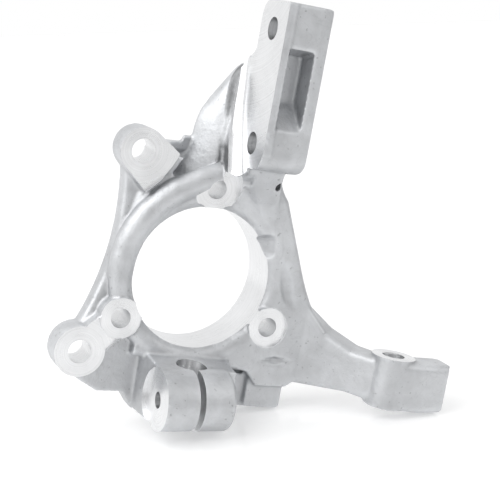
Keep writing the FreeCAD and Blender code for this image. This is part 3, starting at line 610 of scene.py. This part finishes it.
def made_by(centre, normal, trees, near):
    """Index of the cutter whose surface made a face, or -1."""
    for i, tree in enumerate(trees):
        spot, facing, _, _ = tree.find_nearest(centre, near)
        if spot is not None and facing.dot(normal) < FACING:
            return i
    return -1


def stock_shell(grid, trees):
    """Closed shells over the faces that cutters made, standing proud of the casting."""
    faces = [f for f in grid.faces if made_by(f.calc_center_median(), f.normal, trees, NEAR * MM) >= 0]
    shell = bmesh.new()
    normals, low, high = {}, {}, {}
    for face in faces:
        for vert in face.verts:
            normals.setdefault(vert.index, []).append(face.normal * face.calc_area())
    for face in faces:
        for vert in face.verts:
            if vert.index in low:
                continue
            outward = sum(normals[vert.index], Vector()).normalized()
            low[vert.index] = shell.verts.new(vert.co - outward * SINK * MM)
            high[vert.index] = shell.verts.new(vert.co + outward * STOCK * MM)
    chosen = set(faces)
    for face in faces:
        shell.faces.new([high[v.index] for v in face.verts])
        shell.faces.new([low[v.index] for v in reversed(face.verts)])
        for loop in face.loops:
            if any(other in chosen and other is not face for other in loop.edge.link_faces):
                continue
            a, b = loop.vert.index, loop.link_loop_next.vert.index
            shell.faces.new((low[a], low[b], high[b], high[a]))
    mesh = bpy.data.meshes.new("stock")
    shell.to_mesh(mesh)
    shell.free()
    return mesh


def skinned(body):
    """One even skin over everything that overlaps."""
    skin = body.modifiers.new("skin", "REMESH")
    skin.mode = "VOXEL"
    skin.voxel_size = VOXEL * MM
    return settled(body)


def cast_body(name, node, cutters, plugs):
    """The casting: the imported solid, its stock and its plugs under one softened skin."""
    grid = bmesh.new()
    grid.from_mesh(node.data)
    bmesh.ops.remove_doubles(grid, verts=grid.verts, dist=WELD)
    grid.normal_update()
    grid.verts.index_update()
    stock = stock_shell(grid, cutter_trees(cutters))
    grid.from_mesh(stock)
    for plug in plugs + [tower_fill(), cove_fill(), ear_web(), gap_wall()]:
        grid.from_mesh(plug.data)
        bpy.data.objects.remove(plug)
    mesh = bpy.data.meshes.new(name)
    grid.to_mesh(mesh)
    grid.free()
    body = bpy.data.objects.new(name, mesh)
    bpy.context.scene.collection.objects.link(body)
    skinned(body)
    shaves = [tower_shave(), foot_cutter()]
    machined(body, shaves)
    ridge = roll()
    grid = bmesh.new()
    grid.from_mesh(body.data)
    grid.from_mesh(ridge.data)
    grid.to_mesh(body.data)
    grid.free()
    for helper in shaves + [ridge]:
        bpy.data.objects.remove(helper)
    skinned(body)
    soften = body.modifiers.new("soften", "SMOOTH")
    soften.factor = 0.5
    soften.iterations = SOFTEN
    thin = body.modifiers.new("thin", "DECIMATE")
    thin.ratio = KEPT_SHARE
    return settled(body)


def machined(body, cutters):
    """Cut the casting with each tool in turn."""
    for cutter in cutters:
        cut = body.modifiers.new(cutter.name, "BOOLEAN")
        cut.operation = "DIFFERENCE"
        cut.solver = "MANIFOLD"
        cut.object = cutter
        settled(body)
    return body


def value_node(tree, kind, **inputs):
    """Node with values on its inputs."""
    node = tree.nodes.new(kind)
    for key, value in inputs.items():
        node.inputs[key].default_value = value
    return node


def attribute_node(tree, name):
    """Node that reads one of the mesh's attributes."""
    node = tree.nodes.new("ShaderNodeAttribute")
    node.attribute_name = name
    return node


def combined(tree, operation, first, second=None):
    """Math node over one socket, two sockets, or a socket and a number."""
    node = tree.nodes.new("ShaderNodeMath")
    node.operation = operation
    tree.links.new(first, node.inputs[0])
    if isinstance(second, float):
        node.inputs[1].default_value = second
    elif second is not None:
        tree.links.new(second, node.inputs[1])
    return node.outputs["Value"]


def vectors(tree, operation, first, second=None):
    """Vector math node over one or two sockets."""
    node = tree.nodes.new("ShaderNodeVectorMath")
    node.operation = operation
    tree.links.new(first, node.inputs[0])
    if second is not None:
        tree.links.new(second, node.inputs[1])
    return node.outputs["Value" if operation == "LENGTH" else "Vector"]


def between(tree, socket, low, high, start=0.0, end=1.0):
    """Map a socket's range onto another one."""
    node = tree.nodes.new("ShaderNodeMapRange")
    tree.links.new(socket, node.inputs["Value"])
    for key, value in (("From Min", start), ("From Max", end), ("To Min", low), ("To Max", high)):
        node.inputs[key].default_value = value
    return node.outputs["Result"]


def noise(tree, scale, detail, roughness, twist):
    """Noise over the part."""
    node = value_node(tree, "ShaderNodeTexNoise", Scale=scale, Detail=detail,
                      Roughness=roughness, Distortion=twist)
    place = tree.nodes.new("ShaderNodeTexCoord").outputs["Object"]
    tree.links.new(place, node.inputs["Vector"])
    return node.outputs["Fac"]


def ramp(tree, socket, stops, tint=TINT):
    """Ramp with a position and a level at each stop."""
    node = tree.nodes.new("ShaderNodeValToRGB")
    elements = node.color_ramp.elements
    while len(elements) < len(stops):
        elements.new(0.5)
    for element, (position, level) in zip(elements, stops):
        element.position = position
        element.color = [level * share for share in tint] + [1]
    tree.links.new(socket, node.inputs["Fac"])
    return node.outputs["Color"]


def layered(tree, tone, socket, layer, tint=TINT):
    """Tone multiplied by a layer's ramp, by the layer's share."""
    stops, share = layer
    node = tree.nodes.new("ShaderNodeMix")
    node.data_type = "RGBA"
    node.blend_type = "MULTIPLY"
    node.inputs[0].default_value = share
    tree.links.new(tone, node.inputs[MIX_FIRST])
    tree.links.new(ramp(tree, socket, stops, tint), node.inputs[MIX_SECOND])
    return node.outputs[MIX_RESULT]


def bumped(tree, height, size, under=None):
    """Normal roughened by a height, over another normal if there is one."""
    strength, distance = size
    node = value_node(tree, "ShaderNodeBump", Strength=strength, Distance=distance * MM)
    tree.links.new(height, node.inputs["Height"])
    if under is not None:
        tree.links.new(under, node.inputs["Normal"])
    return node.outputs["Normal"]


def metal(name):
    """Metal material, its node tree and its shader."""
    mat = bpy.data.materials.new(name)
    mat.use_nodes = True
    shader = mat.node_tree.nodes["Principled BSDF"]
    shader.inputs["Metallic"].default_value = 1.0
    shader.inputs["IOR"].default_value = METAL_IOR
    return mat, mat.node_tree, shader


def cast_material():
    """Blasted cast skin: fine grain, cloudy tone, faint flow marks, pits, worn edges with a painted
    highlight, and painted shade in inward corners and on the wall beside the cove.
    """
    mat, tree, shader = metal("cast_skin")
    blotch, grain = noise(tree, *BLOTCH), noise(tree, *GRAIN)

    tone = ramp(tree, noise(tree, *CLOUD), CAST_TONE)
    tone = layered(tree, tone, blotch, PATCHES)
    # Thin dark flow lines lie where a noise crosses its middle
    from_middle = combined(tree, "SUBTRACT", noise(tree, *FLOW), 0.5)
    tone = layered(tree, tone, combined(tree, "ABSOLUTE", from_middle), FLOW_LINES)
    tone = layered(tree, tone, noise(tree, *SPECK), PITS)
    # Edges are rubbed brighter and get a painted highlight, inward corners get painted shade, and so
    # does the wall beside the cove
    edge = tree.nodes.new("ShaderNodeNewGeometry").outputs["Pointiness"]
    tone = layered(tree, tone, edge, WORN_EDGE_SHEEN_AND_CREASE_SHADE, NEUTRAL)
    # painted shade on the wall beside the cove, broken into streaks by the blotches
    wall_shade = attribute_node(tree, "cove_wall_shade").outputs["Fac"]
    wall_shade_streaks = combined(tree, "MULTIPLY", wall_shade, between(tree, blotch, *COVE_WALL_SHADE_STREAKS))
    tree.links.new(layered(tree, tone, wall_shade_streaks, COVE_WALL_SHADE_LAYER), shader.inputs["Base Color"])

    rough = combined(tree, "ADD", between(tree, grain, *CAST_ROUGHNESS),
                     between(tree, blotch, *BLOTCH_ROUGHNESS))
    tree.links.new(rough, shader.inputs["Roughness"])
    wave = bumped(tree, noise(tree, *PEEL), PEEL_BUMP)
    tree.links.new(bumped(tree, grain, GRAIN_BUMP, wave), shader.inputs["Normal"])
    return mat


def tool_marks(tree, feed, scale, detail, roughness):
    """Streaks that change along a tool's feed alone."""
    node = tree.nodes.new("ShaderNodeTexNoise")
    node.noise_dimensions = "1D"
    node.inputs["Scale"].default_value = scale
    node.inputs["Detail"].default_value = detail
    node.inputs["Roughness"].default_value = roughness
    tree.links.new(feed, node.inputs["W"])
    return node.outputs["Fac"]


def milled_material():
    """Machined aluminium: bright, with the rings and lines that the tools leave."""
    mat, tree, shader = metal("machined_face")
    shader.inputs["Anisotropic"].default_value = ANISOTROPY
    shader.inputs["Anisotropic Rotation"].default_value = ANISOTROPY_TURN
    spoke = attribute_node(tree, "tool_spoke").outputs["Vector"]
    axis = attribute_node(tree, "tool_axis").outputs["Vector"]
    along = attribute_node(tree, "tool_along").outputs["Fac"]
    # Distance from the tool's axis counts on a face, and distance along it in a bore
    feed = combined(tree, "ADD", vectors(tree, "LENGTH", spoke), along)
    fine = tool_marks(tree, feed, *FINE_MARKS)
    smear = noise(tree, *SMEAR)

    tone = ramp(tree, tool_marks(tree, feed, *BROAD_MARKS), MILLED_TONE)
    tree.links.new(layered(tree, tone, smear, SMEARS), shader.inputs["Base Color"])
    rough = combined(tree, "ADD", between(tree, fine, *MILLED_ROUGHNESS),
                     between(tree, smear, *SMEAR_ROUGHNESS))
    tree.links.new(rough, shader.inputs["Roughness"])
    tree.links.new(bumped(tree, fine, MARK_BUMP), shader.inputs["Normal"])
    tree.links.new(vectors(tree, "CROSS_PRODUCT", axis, spoke), shader.inputs["Tangent"])
    return mat


def cove_wall_shade_at(x, y, z):
    """How much painted shade a point of the skin gets: dark on the wall between the tower's face and the
    cove.
    """
    if not COVE_WALL_SHADE[0][0] < z < COVE_WALL_SHADE[-1][0]:
        return 0.0
    _, _, edge_x, edge_y = at_height(TOWER_FACE, z)
    cove_x, cove_y = at_height(COVE, z)
    back_y = edge_y + COVE_WALL_SHADE_SET_BACK
    share = (back_y - y) / max(back_y - cove_y, LEAST_WALL)
    wall_x = edge_x + (cove_x - edge_x) * share
    past_back, past_front = share + COVE_WALL_SHADE_PAST, 1.0 + COVE_WALL_SHADE_PAST - share
    if min(past_back, past_front) <= 0 or abs(x - wall_x) >= COVE_WALL_SHADE_NEAR:
        return 0.0
    depth = at_height(COVE_WALL_SHADE, z)[0]
    return depth * min(1.0, past_back / COVE_WALL_SHADE_FADE[0], past_front / COVE_WALL_SHADE_FADE[1])


def note_cove_wall_shade(mesh):
    """Store how much painted shade the skin gets at each point."""
    cove_wall_shade = mesh.attributes.new("cove_wall_shade", "FLOAT", "POINT")
    cove_wall_shade.data.foreach_set("value", [cove_wall_shade_at(*(FLAT @ vert.co)) for vert in mesh.vertices])


def note_tool_marks(mesh, cutters, trees):
    """Mark the machined faces, and store where each corner lies about its tool's axis."""
    kinds = {"tool_axis": "FLOAT_VECTOR", "tool_spoke": "FLOAT_VECTOR", "tool_along": "FLOAT"}
    for name, kind in kinds.items():
        mesh.attributes.new(name, kind, "CORNER")
    axis, spoke, along = (mesh.attributes[name] for name in kinds)
    frames = [(Vector(c["origin"]), Vector(c["axis"])) for c in cutters]
    for face in mesh.polygons:
        hit = made_by(face.center, face.normal, trees, TOUCH * MM)
        face.material_index = MILLED if hit >= 0 else CAST
        if hit < 0:
            continue
        origin, turn = frames[hit]
        for i, vert in zip(face.loop_indices, face.vertices):
            offset = mesh.vertices[vert].co - origin
            height = offset.dot(turn)
            axis.data[i].vector = turn
            spoke.data[i].vector = offset - turn * height
            along.data[i].value = height


def knuckle():
    """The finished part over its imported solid."""
    hole_cutters, plugs = holes()
    faces = face_cutters()
    body = cast_body("knuckle_casting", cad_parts["knuckle"], faces, plugs)
    cutters = faces + hole_cutters
    machined(body, cutters)
    mesh = body.data
    mesh.materials.clear()
    for material in (cast_material(), milled_material()):    # in the order CAST, MILLED
        mesh.materials.append(material)
    trees = cutter_trees(cutters)
    note_tool_marks(mesh, cutters, trees)
    note_cove_wall_shade(mesh)
    mesh.shade_smooth()
    mesh.set_sharp_from_angle(angle=math.radians(SHARP_ANGLE))
    for cutter in cutters:
        bpy.data.objects.remove(cutter)
    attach(body, "root")
    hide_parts("knuckle")


def floor_and_backdrop(level):
    """Pale floor that keeps the part's shadow and a faint reflection."""
    mesh = bpy.data.meshes.new("floor")
    corners = ((-FLOOR, -FLOOR, level), (FLOOR, -FLOOR, level), (FLOOR, FLOOR, level),
               (-FLOOR, FLOOR, level))
    mesh.from_pydata(corners, [], [range(len(corners))])
    floor = bpy.data.objects.new("floor", mesh)
    bpy.context.scene.collection.objects.link(floor)
    mat = bpy.data.materials.new("pale_floor")
    mat.use_nodes = True
    tree = mat.node_tree
    shader = tree.nodes["Principled BSDF"]
    shader.inputs["Base Color"].default_value = (FLOOR_TONE, FLOOR_TONE, FLOOR_TONE, 1)
    shader.inputs["Roughness"].default_value = FLOOR_ROUGHNESS
    shader.inputs["Specular IOR Level"].default_value = FLOOR_SPECULAR
    shader.inputs["Emission Color"].default_value = WHITE
    lift = combined(tree, "MULTIPLY", seen_or_mirrored(tree), FLOOR_LIFT)
    tree.links.new(lift, shader.inputs["Emission Strength"])
    mesh.materials.append(mat)


def seen_or_mirrored(tree):
    """1 where the camera, a reflection or glass looks at the backdrop, and 0 for its light."""
    path = tree.nodes.new("ShaderNodeLightPath")
    known = combined(tree, "MAXIMUM", path.outputs["Is Camera Ray"], path.outputs["Is Glossy Ray"])
    return combined(tree, "MAXIMUM", known, path.outputs["Is Transmission Ray"])


def world_light():
    """Even studio light, white where the camera or a reflection looks past the part."""
    world = bpy.data.worlds.new("studio")
    bpy.context.scene.world = world
    world.use_nodes = True
    tree = world.node_tree
    tree.nodes.clear()
    out = tree.nodes.new("ShaderNodeOutputWorld")
    soft = value_node(tree, "ShaderNodeBackground", Strength=WORLD_LEVEL)
    white = value_node(tree, "ShaderNodeBackground", Strength=1.0)
    for node in (soft, white):
        node.inputs["Color"].default_value = WHITE
    # Mirrored in metal, the room is white behind and above, and dimmer in front and below
    way = tree.nodes.new("ShaderNodeTexCoord").outputs["Generated"]
    aim = tree.nodes.new("ShaderNodeVectorMath")
    aim.operation = "DOT_PRODUCT"
    aim.inputs[1].default_value = Vector(BRIGHT_SIDE).normalized()
    tree.links.new(way, aim.inputs[0])
    room = between(tree, aim.outputs["Value"], *ROOM_LEVEL, *ROOM_REACH)
    glossy = tree.nodes.new("ShaderNodeLightPath").outputs["Is Glossy Ray"]
    dim = combined(tree, "MULTIPLY", glossy, combined(tree, "SUBTRACT", room, 1.0))
    tree.links.new(combined(tree, "ADD", dim, 1.0), white.inputs["Strength"])
    mix = tree.nodes.new("ShaderNodeMixShader")
    tree.links.new(seen_or_mirrored(tree), mix.inputs["Fac"])
    tree.links.new(soft.outputs["Background"], mix.inputs[1])
    tree.links.new(white.outputs["Background"], mix.inputs[2])
    tree.links.new(mix.outputs["Shader"], out.inputs["Surface"])


def soft_box(name, place, size, power):
    """Square area lamp that looks at the hub."""
    lamp = bpy.data.lights.new(name, "AREA")
    lamp.size = size
    lamp.energy = power
    made = bpy.data.objects.new(name, lamp)
    made.location = place
    made.rotation_euler = (-Vector(place)).to_track_quat("-Z", "Y").to_euler()
    bpy.context.scene.collection.objects.link(made)


def camera():
    """Camera at the photograph's angle."""
    data = bpy.data.cameras.new("camera")
    data.lens = LENS
    data.sensor_width = SENSOR
    made = bpy.data.objects.new("camera", data)
    made.location = CAMERA_PLACE
    made.rotation_euler = (math.radians(90 - CAMERA_DOWN), 0, -math.radians(CAMERA_TURN))
    bpy.context.scene.collection.objects.link(made)
    bpy.context.scene.camera = made


knuckle()
floor_and_backdrop(cad_box[0][2])
world_light()
soft_box("key", *KEY)
soft_box("fill", *FILL)
camera()
bpy.context.scene.view_settings.view_transform = "Standard"
